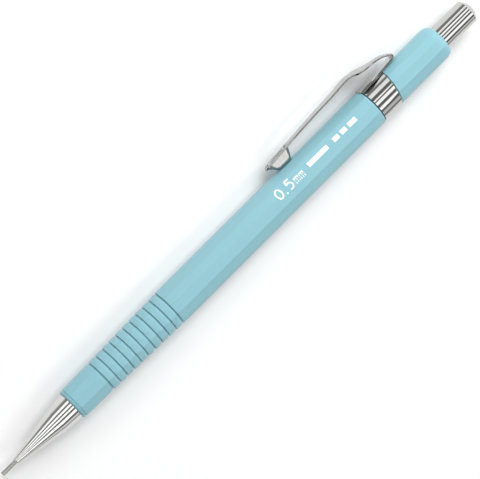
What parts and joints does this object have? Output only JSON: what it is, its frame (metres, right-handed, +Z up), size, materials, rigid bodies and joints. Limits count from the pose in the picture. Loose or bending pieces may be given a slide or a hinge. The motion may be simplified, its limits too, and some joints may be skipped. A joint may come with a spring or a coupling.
{
  "type": "mechanical pencil",
  "caption": "Click-action mechanical pencil with twelve-sided barrel, stepped grip, metal cone with guide sleeve, spring clip and push cap over the eraser.",
  "frame": {"origin": "on the barrel's lowest flat, directly under the pencil's axis and halfway along its length", "axes": "+X along the pencil towards the writing tip, -Y towards the pocket clip, +Z up from the desk"},
  "size_m": [0.143, 0.0129, 0.0087],
  "materials": {
    "barrel_plastic": "satin",
    "clip_steel": "polished",
    "cone_chrome": "polished",
    "sleeve_steel": "satin",
    "cap_chrome": "polished",
    "retainer_rubber": "matte",
    "chuck_brass": "satin",
    "spring_steel": "satin",
    "tube_plastic": "satin",
    "holder_metal": "satin",
    "eraser_rubber": "matte",
    "pin_steel": "satin",
    "graphite": "satin"
  },
  "bodies": {
    "body": {"barrel": "barrel_plastic", "clip_band": "clip_steel", "threaded_insert": "chuck_brass", "chuck_housing": "chuck_brass", "return_spring": "spring_steel"},
    "front": {"tip_cone": "cone_chrome", "guide_sleeve": "sleeve_steel", "lead_retainer": "retainer_rubber"},
    "carrier": {"chuck_stem": "chuck_brass", "tube_connector": "tube_plastic", "lead_tube": "tube_plastic", "spare_lead_1": "graphite", "spare_lead_2": "graphite", "spare_lead_3": "graphite"},
    "clutch": {"clutch_ring": "chuck_brass"},
    "jaw_1": {"chuck_jaw_1": "chuck_brass"},
    "jaw_2": {"chuck_jaw_2": "chuck_brass"},
    "jaw_3": {"chuck_jaw_3": "chuck_brass"},
    "clip": {"clip_arm": "clip_steel"},
    "cap": {"push_cap": "cap_chrome"},
    "eraser_unit": {"eraser": "eraser_rubber", "eraser_holder": "holder_metal", "cleaning_pin": "pin_steel"},
    "lead": {"working_lead": "graphite"}
  },
  "joints": [
    {"name": "knock", "type": "slide", "parent": "body", "child": "carrier", "axis": [1, 0, 0], "range_m": [0, 0.0024], "stiffness_N_per_m": 300, "springref_m": -0.012, "deforming": ["return_spring"]},
    {"name": "clutch_slide", "type": "slide", "parent": "body", "child": "clutch", "axis": [1, 0, 0], "range_m": [0, 0.0006]},
    {"name": "jaw_1_open", "type": "hinge", "parent": "carrier", "child": "jaw_1", "pos_m": [0.0455, 0, 0.00534], "axis": [0, -1, 0], "range_deg": [0, 1.9]},
    {"name": "jaw_2_open", "type": "hinge", "parent": "carrier", "child": "jaw_2", "pos_m": [0.0455, 0.00087, 0.00384], "axis": [0, 0.5, 0.866], "range_deg": [0, 1.9]},
    {"name": "jaw_3_open", "type": "hinge", "parent": "carrier", "child": "jaw_3", "pos_m": [0.0455, -0.00087, 0.00384], "axis": [0, 0.5, -0.866], "range_deg": [0, 1.9]},
    {"name": "clip_open", "type": "hinge", "parent": "body", "child": "clip", "pos_m": [-0.05055, -0.00515, 0.00434], "axis": [0, 0, -1], "range_deg": [0, 5], "stiffness_Nm_per_rad": 1, "springref_deg": -1.15},
    {"name": "cone_unscrew", "type": "slide", "parent": "body", "child": "front", "axis": [1, 0, 0], "range_m": [0, 0.007]},
    {"name": "cap_pull", "type": "slide", "parent": "carrier", "child": "cap", "axis": [-1, 0, 0], "range_m": [0, 0.024]},
    {"name": "eraser_pull", "type": "slide", "parent": "carrier", "child": "eraser_unit", "axis": [-1, 0, 0], "range_m": [0, 0.015]},
    {"name": "lead_feed", "type": "slide", "parent": "carrier", "child": "lead", "axis": [1, 0, 0], "range_m": [0, 0.026]}
  ],
  "couplings": [
    {"joint": "clutch_slide", "follows": "knock", "ratio": 0.25},
    {"joint": "jaw_1_open", "follows": "knock", "rad_per_m": 13.4},
    {"joint": "jaw_2_open", "follows": "knock", "rad_per_m": 13.4},
    {"joint": "jaw_3_open", "follows": "knock", "rad_per_m": 13.4},
    {"joint": "eraser_pull", "follows": "cap_pull", "ratio": 0.625}
  ]
}
